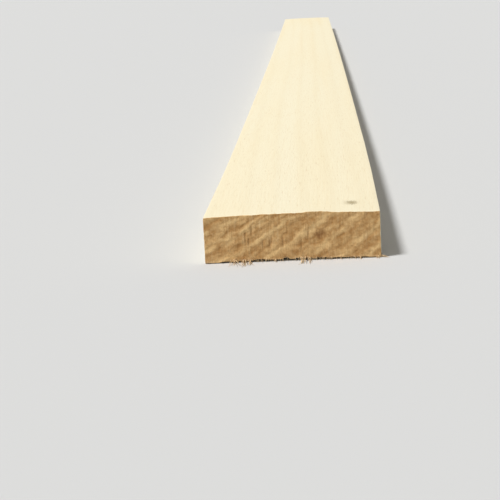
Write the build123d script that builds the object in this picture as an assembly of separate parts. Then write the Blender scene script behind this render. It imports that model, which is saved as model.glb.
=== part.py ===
"""A sawn softwood plank, one solid piece of timber, in millimetres.

The plank lies on a wide face, with its length along Y and its near end facing -Y. The origin is on the floor that
it lies on, under the middle of its bounding box.
"""

from build123d import *
import math
import os

# The sawn size that the plank is sold by.
length = 4000.0
width = 150.0
thickness = 40.0

# How it departs from a true bar, as sawn timber does.
cup = 1.3  # rise of the middle of the section over its long edges, the same on both wide faces
arris = 0.5  # leg of the narrow flat that handling wears along each sawn corner
spring = 2.0  # how far the main run bows to the right in plan, measured at its middle
end_kick = 2.4  # how far the near end runs off to the left of the main run
kick_length = 500.0  # the tighter bend behind the near end

# The bar is made longer than the plank by this at each end, and docking cuts it away. It is more than the bar's
# skewed ends reach into it.
end_spare = width / 8


def cupped_section():
    """The section, seen from the near end: two crowned wide faces, one above the other, and two straight edges."""
    half = width / 2
    with BuildSketch(Plane.XZ) as section:
        with BuildLine():
            underside = ThreePointArc((-half, 0), (0, cup), (half, 0))
            right_edge = Line(underside @ 1, (half, thickness))
            upper_face = ThreePointArc(right_edge @ 1, (0, thickness + cup), (-half, thickness))
            Line(upper_face @ 1, underside @ 0)
        make_face()
        chamfer(section.vertices(), arris)
    return section.sketch


def centre_line():
    """The bent line in plan that the section follows, and its heading at the start, in degrees right of +Y.

    A short tight arc at the near end runs on into a long gentle one. Both turn left.
    """
    main_length = length - kick_length
    main_radius = main_length**2 / (8 * spring)
    kick_radius = kick_length**2 / (2 * end_kick)
    kick_turn = math.degrees((end_spare + kick_length) / kick_radius)
    main_turn = math.degrees((main_length + end_spare) / main_radius)
    heading = kick_turn + main_turn / 2
    start_direction = (math.sin(math.radians(heading)), math.cos(math.radians(heading)))
    with BuildLine() as line:
        kick = JernArc((0, 0), start_direction, kick_radius, kick_turn)
        JernArc(kick @ 1, kick % 1, main_radius, main_turn)
    return line.wire(), heading


def bent_bar():
    """The section swept along the centre line, over length at both ends."""
    line, heading = centre_line()
    first_section = Rot(Z=-heading) * cupped_section()
    return sweep(sections=first_section, path=line)


def dock(bar):
    """Cuts both ends square to Y, a plank's length apart."""
    near_cut = Plane.XZ.offset(-end_spare)
    far_cut = near_cut.offset(-length)
    without_near_spare = split(bar, bisect_by=near_cut, keep=Keep.BOTTOM)
    return split(without_near_spare, bisect_by=far_cut, keep=Keep.TOP)


def stand_on_origin(bar):
    """Brings the middle of the bounding box's underside to the origin."""
    box = bar.bounding_box()
    return Pos(-box.center().X, -box.center().Y, -box.min.Z) * bar


plank = stand_on_origin(dock(bent_bar()))
os.makedirs("parts", exist_ok=True)
export_step(plank, "parts/plank.step")
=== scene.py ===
"""A rough-sawn softwood plank, four metres long, on a pale floor, seen along its length from its near end.

Everything is in metres. The plank lies along Y, its near end faces -Y, and the floor is at zero height.
"""

import math
import random

import bpy
from mathutils import Matrix, Vector, noise


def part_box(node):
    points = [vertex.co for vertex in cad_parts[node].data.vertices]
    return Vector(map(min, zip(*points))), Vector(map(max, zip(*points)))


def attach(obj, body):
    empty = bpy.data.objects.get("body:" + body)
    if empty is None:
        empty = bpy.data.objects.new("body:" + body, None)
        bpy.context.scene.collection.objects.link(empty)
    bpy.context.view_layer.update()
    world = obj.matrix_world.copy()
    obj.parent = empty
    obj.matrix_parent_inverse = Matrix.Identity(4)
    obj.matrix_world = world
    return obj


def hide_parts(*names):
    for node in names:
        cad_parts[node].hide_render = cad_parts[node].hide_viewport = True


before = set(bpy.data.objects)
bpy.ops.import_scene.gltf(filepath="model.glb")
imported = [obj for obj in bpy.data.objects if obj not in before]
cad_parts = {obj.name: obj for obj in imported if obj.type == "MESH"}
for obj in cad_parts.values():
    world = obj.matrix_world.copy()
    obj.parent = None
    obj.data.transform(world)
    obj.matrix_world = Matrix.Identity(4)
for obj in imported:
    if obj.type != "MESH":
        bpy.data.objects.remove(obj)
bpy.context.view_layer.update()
plank_low, plank_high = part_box("plank")


# The camera stands a good pace back from the near end and a hand's span above the plank, to sight along it.
# The lens is long, and the camera leans to the right by under three degrees.

camera_place = Vector((0.0221, -3.2474, 0.2535))
camera_turn = math.radians(2.80)
camera_dip = math.radians(11.00)
camera_lean = math.radians(-2.78)
camera_lens = 108.0
camera_reach = 100.0

bpy.ops.object.camera_add(location=camera_place)
camera = bpy.context.object
camera_aim = (
    Matrix.Rotation(camera_turn, 3, "Z")
    @ Matrix.Rotation(math.pi / 2 - camera_dip, 3, "X")
    @ Matrix.Rotation(camera_lean, 3, "Z")
)
camera.rotation_euler = camera_aim.to_euler()
camera.data.lens = camera_lens
camera.data.clip_end = camera_reach
bpy.context.scene.camera = camera


# The plank is one length of softwood, sawn on all four faces and docked square at both ends. The bar is
# extruded row by row from a grid as large as its section, and then takes the cup and the bow of its drying.

width = 0.150
thickness = 0.040
cup = 0.0013
spring = 0.0020
end_kick = 0.0024
kick_length = 0.500

near_y = plank_low.y
far_y = plank_high.y
main_length = far_y - near_y - kick_length
main_slope = 4 * spring / main_length
main_chord_x = (end_kick + main_slope * kick_length - spring) / 2


def centre_x(y):
    """Where the middle of the bowed plank lies across, at a place along its length."""
    past_kick = y - near_y - kick_length
    if past_kick > 0:
        return main_chord_x + 4 * spring * past_kick * (main_length - past_kick) / main_length**2
    return main_chord_x + main_slope * past_kick - end_kick * (past_kick / kick_length) ** 2


def crown(x):
    """How far the cup lifts a wide face, at a place across from the plank's middle."""
    return cup * (1.0 - (2.0 * x / width) ** 2)


# The tree's heart was above the plank and to its left. Its rings cross the plank's ends as long slanting
# arcs. They are wide, as in fast-grown softwood, a little wavy, and in some years wider than in others.

heart_x = -0.230
heart_z = 0.370
stem_taper = 0.004
stem_sway = 0.003
sway_length = 3.7
ring_width = 0.01536
ring_start = 0.25
across_wave = 0.04
across_wave_length = 0.066
across_wave_drift = 3.1
down_wave = 0.05
down_wave_length = 0.045
down_wave_drift = 2.1
good_years = 0.15
good_year_cycle = 5.5
good_year_start = 0.124
late_wood_start = 0.45


def wave(turns):
    """A sine wave that repeats at each whole number, of a number or of a value of a material."""
    angle = turns * (2 * math.pi)
    return angle.math("SINE") if isinstance(angle, Shade) else math.sin(angle)


def ring_count(x, y, z):
    """How many yearly rings lie between the tree's heart and a point of the plank."""
    along = y - near_y
    across = x - heart_x + stem_sway * wave(along / sway_length)
    below = z - heart_z - stem_taper * along
    years = (across * across + below * below) ** 0.5 / ring_width
    years = years + across_wave * wave(across / across_wave_length + along / across_wave_drift)
    years = years + down_wave * wave(below / down_wave_length - along / down_wave_drift)
    return years + ring_start - good_years * wave(years / good_year_cycle - good_year_start)


def late_wood(rings, sharpness):
    """1 in each ring's hard late wood and 0 in its soft early wood. A sharper late wood is narrower."""
    return (0.5 + 0.5 * wave(rings - late_wood_start)) ** sharpness


class Shade:
    """A value in a material's node tree. Arithmetic with it adds the nodes that work the result out."""

    def __init__(self, tree, socket=None):
        self.tree = tree
        self.socket = socket

    def node(self, kind, settings, sockets, output=0):
        """Adds a node, gives it its settings and its sockets' values or links, and returns an output."""
        added = self.tree.nodes.new(kind)
        for name, value in settings.items():
            setattr(added, name, value)
        for name, value in sockets.items():
            if isinstance(value, Shade):
                self.tree.links.new(value.socket, added.inputs[name])
            else:
                added.inputs[name].default_value = value
        return Shade(self.tree, added.outputs[output])

    def math(self, operation, *others):
        """A Math node of this value and any others."""
        return self.node("ShaderNodeMath", {"operation": operation}, dict(enumerate((self,) + others)))

    def __add__(self, other):
        return self.math("ADD", other)

    def __radd__(self, other):
        return self.math("ADD", other)

    def __sub__(self, other):
        return self.math("SUBTRACT", other)

    def __rsub__(self, other):
        return (self * -1.0) + other

    def __mul__(self, other):
        return self.math("MULTIPLY", other)

    def __rmul__(self, other):
        return self.math("MULTIPLY", other)

    def __truediv__(self, other):
        return self.math("DIVIDE", other)

    def __rtruediv__(self, other):
        return (self ** -1.0) * other

    def __pow__(self, other):
        return self.math("POWER", other)

    def above(self, low, high):
        """0 below the low value, 1 above the high one, and smooth between them."""
        settings = {"interpolation_type": "SMOOTHSTEP"}
        return self.node("ShaderNodeMapRange", settings, {"Value": self, "From Min": low, "From Max": high})

    def below(self, low, high):
        """1 below the low value, 0 above the high one, and smooth between them."""
        return 1.0 - self.above(low, high)

    def mix(self, colour_at_0, colour_at_1):
        """A colour that goes from one to the other as this value goes from 0 to 1."""
        sockets = {0: self, 6: colour_at_0, 7: colour_at_1}
        return self.node("ShaderNodeMix", {"data_type": "RGBA"}, sockets, 2)


def noise_at(x, y, z):
    """Smooth noise from 0 to 1, with blotches about one unit across."""
    place = x.node("ShaderNodeCombineXYZ", {}, {0: x, 1: y, 2: z})
    sockets = {"Vector": place, "Scale": 1.0, "Detail": 1.0, "Roughness": 0.5}
    return x.node("ShaderNodeTexNoise", {}, sockets)


def blotches(place, size, detail=2.0, roughness=0.5, shift=(0.0, 0.0, 0.0)):
    """Smooth noise from 0 to 1, with blotches of a size along X, Y and Z. A shift gives another pattern."""
    in_blotches = place.node("ShaderNodeVectorMath", {"operation": "DIVIDE"}, {0: place, 1: size})
    shifted = place.node("ShaderNodeVectorMath", {"operation": "ADD"}, {0: in_blotches, 1: shift})
    sockets = {"Vector": shifted, "Scale": 1.0, "Detail": detail, "Roughness": roughness}
    return place.node("ShaderNodeTexNoise", {}, sockets)


wood_roughness = 0.85
wood_specular = 0.25


def wood_material(name):
    """A new material, with its shader, and a point of the wood as one value and as its X, Y and Z."""
    material = bpy.data.materials.new(name)
    material.use_nodes = True
    tree = material.node_tree
    shader = tree.nodes["Principled BSDF"]
    shader.inputs["Roughness"].default_value = wood_roughness
    shader.inputs["Specular IOR Level"].default_value = wood_specular
    place = Shade(tree).node("ShaderNodeTexCoord", {}, {}, "Object")
    x, y, z = [place.node("ShaderNodeSeparateXYZ", {}, {"Vector": place}, axis) for axis in "XYZ"]
    return material, shader, place, x, y, z


def finish_material(shader, colour, height):
    """Links a colour and a relief, in metres, to the shader."""
    bump = height.node("ShaderNodeBump", {}, {"Strength": 1.0, "Distance": 1.0, "Height": height})
    height.tree.links.new(colour.socket, shader.inputs["Base Color"])
    height.tree.links.new(bump.socket, shader.inputs["Normal"])


# The sawn faces are pale cream, with a faint figure where the rings come out, and furry from the saw. Short
# resin canals show as fine brown dashes along the grain.

early_cream = (0.945, 0.868, 0.645, 1.0)
warm_cream = (0.945, 0.845, 0.600, 1.0)
late_straw = (0.830, 0.670, 0.400, 1.0)
canal_brown = (0.600, 0.400, 0.190, 1.0)
face_sharpness = 3.0
streak_size = (0.045, 1.4, 0.045)
fibre_size = (0.0011, 0.071, 0.0011)
fuzz_size = (0.0020, 0.0062, 0.0020)
nap_size = (0.00056, 0.0038, 0.00056)
canal_size = (0.00050, 0.024, 0.00050)
canal_shift = (0.0, 0.0, 4.0)
late_height = 0.00006
fibre_height = 0.00012
fuzz_height = 0.00020
nap_height = 0.00010

sawn_face, shader, place, x, y, z = wood_material("sawn_face")
late = late_wood(ring_count(x, y, z), face_sharpness)
streaks = blotches(place, streak_size)
fibres = blotches(place, fibre_size, 3.0, 0.6)
fuzz = blotches(place, fuzz_size, 3.0, 0.6)
nap = blotches(place, nap_size, 2.0, 0.6)
canals = blotches(place, canal_size, 0.0, shift=canal_shift)

# The band saw left low waves across the plank, a little askew. Its feed gives part of them an even pitch,
# and the rest come by chance.
saw_mark_height = 0.00010
saw_mark_skew = 0.05
saw_mark_wander = 0.006
wander_size = (0.17, 0.33, 0.17)
feed_share = 0.35
feed_pitch = 0.0075
chance_share = 2.0
chance_pitch = 0.0048
chance_width = 0.20
chance_shift = 9.0
up_saw = y + saw_mark_skew * x + saw_mark_wander * blotches(place, wander_size)
chance_marks = noise_at(x / chance_width + chance_shift, up_saw / chance_pitch, z / chance_width)
saw_marks = feed_share * wave(up_saw / feed_pitch) + chance_share * chance_marks - chance_share / 2

# A pin knot shows close to the near end. Its branch grew out from the heart, so it runs down through the
# plank, away from the heart, and the grain beside it is bruised.
knot_brown = (0.290, 0.208, 0.080, 1.0)
knot_place = Vector((0.0507, near_y + 0.0445, thickness))
knot_radius = 0.0031
knot_stretch = 3.2
knot_depth = 0.00010
knot_fray = 0.006
rings_in_knot = 2.5
knot_ring_start = 0.25
bruise_offset = 0.0036
bruise_radius = 0.0044
branch_run = Vector((knot_place.x - heart_x, 0.0, knot_place.z - heart_z)).normalized()


def from_branch(across, along, up):
    """How far a point, given from the knot, lies from the branch's line, counted shorter along the grain."""
    along = along / knot_stretch
    down_branch = across * branch_run.x + up * branch_run.z
    return (across * across + along * along + up * up - down_branch * down_branch) ** 0.5


across, along, up = x - knot_place.x, y - knot_place.y, z - knot_place.z
fray = knot_fray * (nap - 0.5)
out_of_knot = (from_branch(across, along, up) + fray) / knot_radius
knot = out_of_knot.below(0.80, 1.20)
knot_core = out_of_knot.below(0.10, 0.80)
knot_rings = 0.5 + 0.5 * wave(out_of_knot * rings_in_knot + knot_ring_start)
bruise = ((from_branch(across + bruise_offset, along, up) + fray) / bruise_radius).below(0.25, 1.15)

# The docking saw tore the lower corner at each end and laid darker wood bare.
torn_tan = (0.520, 0.320, 0.145, 1.0)
torn_length = (0.004, 0.009)
torn_rise = (0.0045, 0.0065)
torn_fray_along = 0.006
torn_fray_up = 0.002
from_end = far_y - y.math("ABSOLUTE")
torn_along = (from_end + torn_fray_along * fuzz).below(*torn_length)
torn = torn_along * (z + torn_fray_up * fuzz).below(*torn_rise)

# The colours are laid one over another. Each shows in its own places, some only faintly.
colour = streaks.above(0.35, 0.75).mix(early_cream, warm_cream)
colour = (late * (0.05 + 0.11 * streaks)).mix(colour, late_straw)
colour = (0.22 * fibres.below(0.25, 0.60)).mix(colour, late_straw)
colour = (0.20 * nap.below(0.30, 0.50)).mix(colour, late_straw)
colour = (0.28 * canals.below(0.18, 0.34)).mix(colour, canal_brown)
colour = (0.26 * bruise).mix(colour, knot_brown)
colour = ((0.38 + 0.20 * knot_core + 0.14 * knot_rings) * knot).mix(colour, knot_brown)
colour = (0.85 * torn).mix(colour, torn_tan)
relief = late_height * late + saw_mark_height * saw_marks + fibre_height * fibres
relief = relief + fuzz_height * fuzz + nap_height * nap - knot_depth * knot
finish_material(shader, colour, relief)


# The docked ends are darker, because they show the cut ends of the fibres. The saw left the late wood proud
# and fluffy, combed the wood into ridges along the rings, and tore it in lumps.

# Part of the light and dark in these colours is painted: painted highlight on the end's raised places, and
# painted shade in its low places, scratches, pores and scores.
early_tan_and_shade = (0.475, 0.243, 0.078, 1.0)
late_tan_and_highlight = (0.905, 0.610, 0.280, 1.0)
torn_brown_and_shade = (0.300, 0.150, 0.052, 1.0)
fluff_cream_and_highlight = (0.930, 0.700, 0.400, 1.0)
end_sharpness = 6.0
end_depth = 0.025
uneven_size = (0.0067, end_depth, 0.0067)
lump_size = (0.00435, end_depth, 0.0036)
patch_size = (0.0143, end_depth, 0.0100)
proud_size = (0.0133, end_depth, 0.0133)
fluff_size = (0.0016, 0.0016, 0.0019)
ring_unevenness = 0.26
ridges_per_ring = 3.4
ridge_breaks = 26.0
late_end_height = 0.00022
ridge_height = 0.00045
lump_height = 0.00045
fluff_height = 0.00025

# Each shift picks the stretch of its noise whose light and dark places lie about as on the real near end.
uneven_shift = (0.0, -40.0, 3.0)
lump_shift = (-14.2, -40.0, 28.6)
patch_shift = (9.9, -33.0, 10.5)
proud_shift = (27.6, -40.0, 28.1)
ridge_shift = (-100.2, 57.3, -40.0)

end_grain, shader, place, x, y, z = wood_material("end_grain")
uneven = blotches(place, uneven_size, 1.0, shift=uneven_shift)
rings = ring_count(x, y, z) + ring_unevenness * uneven - ring_unevenness / 2
round_heart = (z - heart_z).math("ARCTAN2", x - heart_x)
ridges = noise_at(
    rings * ridges_per_ring + ridge_shift[0],
    round_heart * ridge_breaks + ridge_shift[1],
    y / end_depth + ridge_shift[2],
)
lumps = blotches(place, lump_size, 1.0, shift=lump_shift)
patches = blotches(place, patch_size, 1.0, shift=patch_shift)
fluff = blotches(place, fluff_size, 2.0, 0.6)
proud = late_wood(rings, end_sharpness) * blotches(place, proud_size, shift=proud_shift).above(0.34, 0.62)

# The saw's teeth ran from top to bottom. They left shallow strokes and fine scratches over the whole end,
# and deep scores over the left and the middle of the near one. The pores are the cut ends of the fibres.
stroke_size = (0.0030, end_depth, 0.0167)
stroke_shift = (-39.5, 0.0, -37.7)
scratch_size = (0.00083, end_depth, 0.0111)
pore_size = (0.00045, 0.0011, 0.00045)
scratch_height = 0.00016
pore_height = 0.00014
score_width = 0.0007
score_bump = 0.00025
near_middle_x = centre_x(near_y)

# Each deep score of the near end: its place across from the end's middle, its lowest point and its highest.
scores = [
    (-0.0396, 0.015, 0.027),
    (-0.0368, 0.014, 0.020),
    (-0.0341, 0.023, 0.031),
    (-0.0249, 0.012, 0.019),
    (-0.0188, 0.011, 0.019),
    (-0.0174, 0.015, 0.021),
    (-0.0079, 0.012, 0.020),
    (0.0078, 0.009, 0.019),
    (0.0139, 0.018, 0.025),
]


def score_depth(x, z):
    """1 in the middle of a deep score, and down to about 0 away from them all."""
    depth = 0.0
    for score_x, low, high in scores:
        across = (x - score_x) / score_width
        up = (z - (low + high) / 2) / ((high - low) / 2)
        depth = depth + 1.0 / ((across * across) ** 2.0 + (up * up) ** 4.0 + 1.0)
    return depth


strokes = blotches(place, stroke_size, 1.0, shift=stroke_shift)
scratches = blotches(place, scratch_size, 2.0, 0.6)
pores = blotches(place, pore_size, 1.0)
at_near_end = y.below(-1.0, 1.0)
score = score_depth(x - near_middle_x, z) * at_near_end

# A spot of resin stains the near end right of its middle, broken up by the scratches. Both ends have a paler
# rim along the lower corner, where the saw broke out.
resin_red = (0.230, 0.095, 0.035, 1.0)
resin_x = near_middle_x + 0.0232
resin_z = 0.0225
resin_radius = 0.0085
resin_fray = 0.005
rim_height = 0.005
rim_fray = 0.003
from_resin = ((x - resin_x) * (x - resin_x) + (z - resin_z) * (z - resin_z)) ** 0.5
resin = ((from_resin + resin_fray * lumps) / resin_radius).below(0.4, 1.0) * at_near_end
resin = resin * (0.30 + 0.70 * scratches.below(0.44, 0.60))
rim = ((z + rim_fray * fluff) / rim_height).below(0.4, 1.0)

# The wood is pale where the layers of noise add up high, and dark where they add up low. These layers also
# raise the relief, so the colour is partly the wood's own mottle and partly painted highlight on the raised
# places and painted shade in the low ones.
paleness_and_painted_light = 0.72 * ridges + 0.54 * lumps + 0.44 * fluff + 0.40 * proud + 0.46 * patches
colour = paleness_and_painted_light.above(0.76, 1.52).mix(early_tan_and_shade, late_tan_and_highlight)
# The deep scores are darkened with painted shade in their hollows.
colour = (0.36 * score).mix(colour, torn_brown_and_shade)
colour = (0.25 * strokes.below(0.25, 0.42)).mix(colour, torn_brown_and_shade)
colour = (0.25 * strokes.above(0.58, 0.78)).mix(colour, fluff_cream_and_highlight)
colour = (0.62 * resin).mix(colour, resin_red)
colour = (0.35 * rim).mix(colour, fluff_cream_and_highlight)
# The scratches are darker in their low places, with painted shade, and paler on their high ones, with
# painted highlight.
colour = (0.22 * scratches.below(0.30, 0.52)).mix(colour, torn_brown_and_shade)
colour = (0.22 * scratches.above(0.52, 0.70)).mix(colour, fluff_cream_and_highlight)
# The pores are darkened with painted shade in their hollows.
colour = (0.30 * pores.below(0.30, 0.48)).mix(colour, torn_brown_and_shade)
relief = late_end_height * proud + ridge_height * ridges + lump_height * lumps + fluff_height * fluff
relief = relief + scratch_height * scratches + pore_height * pores - score_bump * score
finish_material(shader, colour, relief)


# The mesh. Its rows stand close together at the ends, where the docking saw's work shows, and its ends are
# divided finer still.

columns = 75
layers = 20
end_cuts = 2
first_step = 0.002
step_growth = 1.3
longest_step = 0.045

bpy.ops.object.select_all(action="DESELECT")
bpy.ops.mesh.primitive_grid_add(
    x_subdivisions=columns,
    y_subdivisions=layers,
    size=1.0,
    location=(0.0, near_y, thickness / 2),
    rotation=(math.pi / 2, 0.0, 0.0),
)
plank = bpy.context.object
plank.name = "sawn_plank"
plank.scale = (width, thickness, 1.0)
bpy.ops.object.transform_apply(location=True, rotation=True, scale=True)

steps = []
step = first_step
while step < longest_step:
    steps.append(step)
    step *= step_growth
middle_length = far_y - near_y - 2 * sum(steps)
middle_rows = round(middle_length / longest_step)
steps = steps + [middle_length / middle_rows] * middle_rows + steps[::-1]

bpy.ops.object.mode_set(mode="EDIT")
bpy.ops.mesh.select_all(action="SELECT")
for step in steps:
    bpy.ops.mesh.extrude_region_move(TRANSFORM_OT_translate={"value": (0.0, step, 0.0)})
bpy.ops.mesh.select_all(action="SELECT")
bpy.ops.mesh.normals_make_consistent(inside=False)
bpy.ops.mesh.select_all(action="DESELECT")
bpy.ops.object.mode_set(mode="OBJECT")

plank.data.materials.append(sawn_face)
plank.data.materials.append(end_grain)
for polygon in plank.data.polygons:
    polygon.select = abs(polygon.normal.y) > 0.9
    polygon.material_index = 1 if polygon.select else 0
bpy.ops.object.mode_set(mode="EDIT")
bpy.ops.mesh.select_mode(type="FACE")
bpy.ops.mesh.subdivide(number_cuts=end_cuts)
bpy.ops.object.mode_set(mode="OBJECT")


def rough(x, y, z, grain):
    """Noise of about -1 to 1 whose blotches are one grain across."""
    return noise.noise(Vector((x, y, z)) / grain)


# The relief of the docked ends: how high or deep each kind of mark is, and how wide. The late wood and the
# strokes come and go in patches.
proud_relief = 0.00018
ridge_relief = 0.00032
wide_relief = 0.00035
wide_grain = 0.018
fine_relief = 0.00022
fine_grain = 0.0030
stroke_relief = 0.0005
stroke_width = 0.0025
stroke_length = 0.016
score_relief = 0.00035
patch_grain = 0.030


def end_relief(x, y, z):
    """How far the docked end stands out. Late wood and ridges are proud, strokes and scores are hollow."""
    rings = ring_count(x, y, z)
    round_heart = math.atan2(z - heart_z, x - heart_x)
    proud = proud_relief * late_wood(rings, end_sharpness) * (0.5 + rough(x, y, z + 2.0, patch_grain))
    ridge = ridge_relief * rough(rings * ridges_per_ring, round_heart * ridge_breaks, y, 1.0)
    uneven = wide_relief * rough(x, y, z, wide_grain) + fine_relief * rough(x, y, z, fine_grain)
    stroke = stroke_relief * abs(noise.noise(Vector((x / stroke_width, y, z / stroke_length))))
    stroked = max(0.0, rough(x, y, z + 1.0, patch_grain))
    score = score_relief * score_depth(x, z) if y < 0 else 0.0
    return proud + ridge + uneven - stroke * stroked - score


# The corners are worn unevenly all along, and torn as well in the last few millimetres at each end.
arris_mean_wear = 0.00025
arris_wear_change = 0.0002
arris_wear_grain = 0.06
arris_tear = 0.0005
arris_tear_grain = 0.0045
arris_tear_bias = 0.25
arris_tear_reach = 0.004


def arris_wear(x, y, z, from_end):
    """How far a corner of the plank is worn back, and close to an end torn back too."""
    torn = arris_tear * max(0.0, rough(x, y, z, arris_tear_grain) + arris_tear_bias)
    worn = arris_mean_wear + arris_wear_change * rough(x, y, z, arris_wear_grain)
    return worn + torn * math.exp(-from_end / arris_tear_reach)


# Where the docking saw came out, it broke chips from the lower corner. Each of these is given by its place
# across from the near end's middle, its half width and its height. The others, at both ends, are by chance.
chips = [
    (-0.0570, 0.005, 0.0008),
    (-0.0280, 0.007, 0.0012),
    (-0.0058, 0.003, 0.0022),
    (0.0045, 0.003, 0.0010),
    (0.0130, 0.004, 0.0008),
    (0.0246, 0.007, 0.0007),
    (0.0390, 0.004, 0.0005),
    (0.0500, 0.006, 0.0008),
    (0.0612, 0.004, 0.0007),
]
chip_reach = 0.006
chip_depth = 0.004
chance_chip = 0.0012
chance_chip_width = 0.009
chance_chip_near_share = 0.5


def chip_height(x, y, z, from_end):
    """How far a point near an end's lower corner is lifted, so that the corner is broken in chips."""
    if from_end > 4 * chip_depth or z > chip_reach:
        return 0.0
    height = chance_chip * max(0.0, rough(x, y, 0.5, chance_chip_width))
    if y < 0:
        height *= chance_chip_near_share
        for chip_x, half_width, rise in chips:
            height = max(height, rise * (1.0 - ((x - chip_x) / half_width) ** 2))
    return height * (1.0 - z / chip_reach) * math.exp(-from_end / chip_depth)


# Where the saw came in, it raised a low burr on the near end's upper corner, right of the middle.
burr_x = 0.0205
burr_half_width = 0.0125
burr_rise = 0.0011
burr_reach = 0.006


def burr_height(x, y, z, from_end):
    """How far a point near the near end's upper corner is lifted into the burr."""
    below = thickness - z
    beside = abs(x - burr_x) / burr_half_width
    if y > 0 or from_end > 4 * burr_reach or below > burr_reach or beside > 1.0:
        return 0.0
    return burr_rise * (1.0 - beside**2) * (1.0 - below / burr_reach) * math.exp(-from_end / burr_reach)


# The rim all round each docked end is broken back a little, more in some places than in others.
rim_wear = 0.0004
rim_tear = 0.0008
rim_tear_grain = 0.003
tolerance = 1e-6
smooth_angle = math.radians(40)


def as_sawn(x, y, z):
    """Where a point of the plain bar goes as its ends turn rough, its corners wear, and it cups and bows."""
    from_end = min(y - near_y, far_y - y)
    at_end = from_end < tolerance
    at_side = width / 2 - abs(x) < tolerance
    at_face = thickness / 2 - abs(z - thickness / 2) < tolerance
    outwards = math.copysign(1.0, y)
    side = math.copysign(1.0, x)
    face = math.copysign(1.0, z - thickness / 2)
    if at_end:
        y += outwards * end_relief(x, y, z)
        if at_side or at_face:
            y -= outwards * (rim_wear + rim_tear * max(0.0, rough(x, y, z, rim_tear_grain)))
    wear_x = arris_wear(x, y, z, from_end) if at_side and (at_face or at_end) else 0.0
    wear_z = arris_wear(x, y, z + 1.0, from_end) if at_face and (at_side or at_end) else 0.0
    x -= side * wear_x
    z -= face * wear_z
    z += chip_height(x, y, z, from_end) + burr_height(x, y, z, from_end)
    return centre_x(y) + x, y, z + crown(x)


for vertex in plank.data.vertices:
    vertex.co = as_sawn(*vertex.co)

bpy.ops.object.select_all(action="DESELECT")
plank.select_set(True)
bpy.context.view_layer.objects.active = plank
bpy.ops.object.shade_smooth_by_angle(angle=smooth_angle)

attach(plank, "root")
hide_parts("plank")


# Torn fibres. Where the docking saw broke out of the plank, at the lower corner of each end, it left hairs
# and slivers of wood that hang on at one end and curl down towards the floor. One sliver is modelled
# straight, and each of its copies takes its own place, length and curl.

hair_tan = (0.560, 0.360, 0.180, 1.0)
hair_cream = (0.860, 0.680, 0.420, 1.0)
strand_size = (0.0011, 0.0083, 0.0011)
strand_height = 0.00005
hair_sides = 5
hair_rings = 6
hair_radius = 0.00030
hair_taper = 0.25
hair_sag = 1.6

torn_fibre, shader, place, x, y, z = wood_material("torn_fibre")
strands = blotches(place, strand_size)
finish_material(shader, strands.above(0.3, 0.7).mix(hair_tan, hair_cream), strand_height * strands)

bpy.ops.object.select_all(action="DESELECT")
bpy.ops.mesh.primitive_cone_add(
    vertices=hair_sides,
    radius1=1.0,
    radius2=hair_taper,
    depth=1.0,
    location=(0.0, 0.0, 0.5),
    end_fill_type="TRIFAN",
)
straight_hair = bpy.context.object
bpy.ops.object.transform_apply(location=True, rotation=True, scale=True)
bpy.ops.object.mode_set(mode="EDIT")
for ring in range(1, hair_rings):
    bpy.ops.mesh.select_all(action="SELECT")
    bpy.ops.mesh.bisect(plane_co=(0.0, 0.0, ring / hair_rings), plane_no=(0.0, 0.0, 1.0))
bpy.ops.object.mode_set(mode="OBJECT")
straight_hair.data.materials.append(torn_fibre)


def hair(root, tip, curl, radius, breadth):
    """A copy of the straight hair that leaves its root level, sags to its tip and curls sideways."""
    copy = straight_hair.copy()
    copy.data = straight_hair.data.copy()
    bpy.context.collection.objects.link(copy)
    for vertex in copy.data.vertices:
        along = vertex.co.z
        x = root.x + (tip.x - root.x) * along + curl * math.sin(math.pi * along)
        y = root.y + (tip.y - root.y) * along
        z = tip.z + (root.z - tip.z) * (1.0 - along**hair_sag)
        vertex.co = (x + vertex.co.x * radius * breadth, y, max(z, radius) + vertex.co.y * radius)
    return copy


# How the hairs of an end differ. A pair is the least and the most. A spread is a standard deviation, and a
# tip's or a curl's is a share of the hair's reach. Hairs shorter than thick_reach are thinner.
stubble_count = 80
stubble_edge = 0.49
stubble_reach = 0.0045
stubble_shares = (0.2, 1.0)
tuft_spread = 0.0009
reach_shares = (0.6, 1.1)
root_depth = 0.0015
root_heights = (0.0006, 0.0026)
tip_heights = (0.0, 0.6)
tip_spread = 0.14
curl_spread = 0.035
radius_shares = (0.5, 1.1)
thick_reach = 0.006
breadths = (1.0, 2.2)


def torn_end(name, end_y, outwards, tufts, chance):
    """All the hairs of one end as one piece: its tufts, and short stubble between them."""
    hairs = []
    places = [(x, reach, lean) for x, reach, lean, count in tufts for _ in range(count)]
    for _ in range(stubble_count):
        x = chance.uniform(-stubble_edge, stubble_edge) * width
        places.append((x, chance.uniform(*stubble_shares) * stubble_reach, 0.0))
    for x, reach, lean in places:
        x += chance.gauss(0.0, tuft_spread)
        reach *= chance.uniform(*reach_shares)
        root_z = crown(x) + chance.uniform(*root_heights)
        root = Vector((centre_x(end_y) + x, end_y - outwards * root_depth, root_z))
        tip_x = root.x + lean + chance.gauss(0.0, tip_spread) * reach
        tip_z = root.z * chance.uniform(*tip_heights)
        tip = Vector((tip_x, end_y + outwards * reach, tip_z))
        thinning = min(1.0, max(reach, lean) / thick_reach) ** 0.5
        radius = hair_radius * chance.uniform(*radius_shares) * thinning
        curl = chance.gauss(0.0, curl_spread) * reach
        hairs.append(hair(root, tip, curl, radius, chance.uniform(*breadths)))
    bpy.ops.object.select_all(action="DESELECT")
    for piece in hairs:
        piece.select_set(True)
    bpy.context.view_layer.objects.active = hairs[0]
    bpy.ops.object.join()
    end_hairs = bpy.context.object
    end_hairs.name = name
    bpy.ops.object.mode_set(mode="EDIT")
    bpy.ops.mesh.select_all(action="SELECT")
    bpy.ops.mesh.normals_make_consistent(inside=False)
    bpy.ops.object.mode_set(mode="OBJECT")
    bpy.ops.object.shade_smooth()
    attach(end_hairs, "root")


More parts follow.
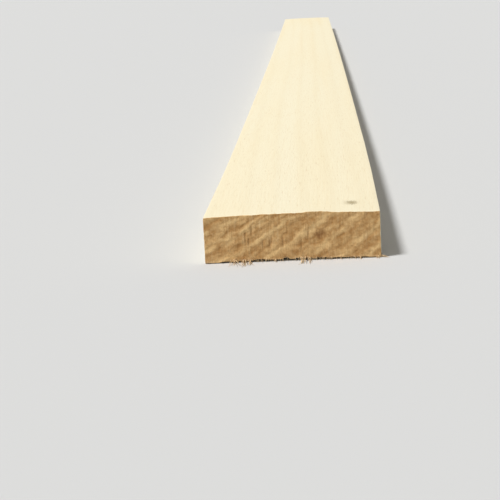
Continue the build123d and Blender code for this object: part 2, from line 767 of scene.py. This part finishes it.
# Each tuft: its place across from the end's middle, how far it reaches out, how far it leans to the right,
# and how many hairs it has. The one that leans most sticks out past the plank's right edge.
near_tufts = [
    (-0.0504, 0.019, 0.001, 7),
    (-0.0408, 0.019, 0.000, 7),
    (-0.0367, 0.017, 0.001, 6),
    (-0.0150, 0.006, 0.000, 2),
    (0.0071, 0.020, 0.001, 6),
    (0.0127, 0.018, -0.001, 5),
    (0.0300, 0.007, 0.000, 2),
    (0.0735, 0.002, 0.007, 8),
    (0.0710, 0.005, 0.001, 5),
    (0.0564, 0.005, 0.000, 3),
    (0.0417, 0.005, 0.000, 3),
]
far_tufts = [
    (-0.0620, 0.009, 0.001, 4),
    (-0.0200, 0.014, 0.000, 5),
    (0.0250, 0.010, 0.000, 3),
    (0.0560, 0.015, 0.000, 6),
]
torn_end("near_end_fibres", near_y, -1.0, near_tufts, random.Random(3))
torn_end("far_end_fibres", far_y, 1.0, far_tufts, random.Random(8))
bpy.data.objects.remove(straight_hair)


# The floor is a plain pale sheet with no seam. It isn't part of the plank, which lies loose on it and casts
# its shadow there.

floor_size = 120.0
floor_grey = (0.68, 0.68, 0.67, 1.0)
floor_roughness = 0.9

bpy.ops.mesh.primitive_plane_add(size=floor_size, location=(0.0, 0.0, 0.0))
floor = bpy.context.object
floor.name = "floor"
floor_material = bpy.data.materials.new("floor")
floor_material.use_nodes = True
floor_shader = floor_material.node_tree.nodes["Principled BSDF"]
floor_shader.inputs["Base Color"].default_value = floor_grey
floor_shader.inputs["Roughness"].default_value = floor_roughness
floor.data.materials.append(floor_material)


# The sun stands high on the left and a little in front, so that it only grazes the near end. The sky fills
# in from all round. Where the camera sees it past the floor's edge, it shows as a paler backdrop, in a gloss
# or a glass too.

sun_from = Vector((-0.44, -0.22, 0.88))
sun_strength = 2.86
sun_softness = math.radians(12)
sky_strength = 0.25
backdrop_strength = 0.72

bpy.ops.object.light_add(type="SUN", location=(-2.0, -4.0, 4.0))
sun = bpy.context.object
sun.rotation_euler = sun_from.to_track_quat("Z", "Y").to_euler()
sun.data.energy = sun_strength
sun.data.angle = sun_softness

world = bpy.data.worlds.new("sky")
world.use_nodes = True
background = world.node_tree.nodes["Background"]
background.inputs["Color"].default_value = (1.0, 1.0, 1.0, 1.0)
rays = Shade(world.node_tree)
seen = rays.node("ShaderNodeLightPath", {}, {}, "Is Camera Ray")
seen = seen.math("MAXIMUM", rays.node("ShaderNodeLightPath", {}, {}, "Is Glossy Ray"))
seen = seen.math("MAXIMUM", rays.node("ShaderNodeLightPath", {}, {}, "Is Transmission Ray"))
sky = sky_strength + seen * (backdrop_strength - sky_strength)
world.node_tree.links.new(sky.socket, background.inputs["Strength"])
bpy.context.scene.world = world

bpy.context.scene.view_settings.view_transform = "Standard"
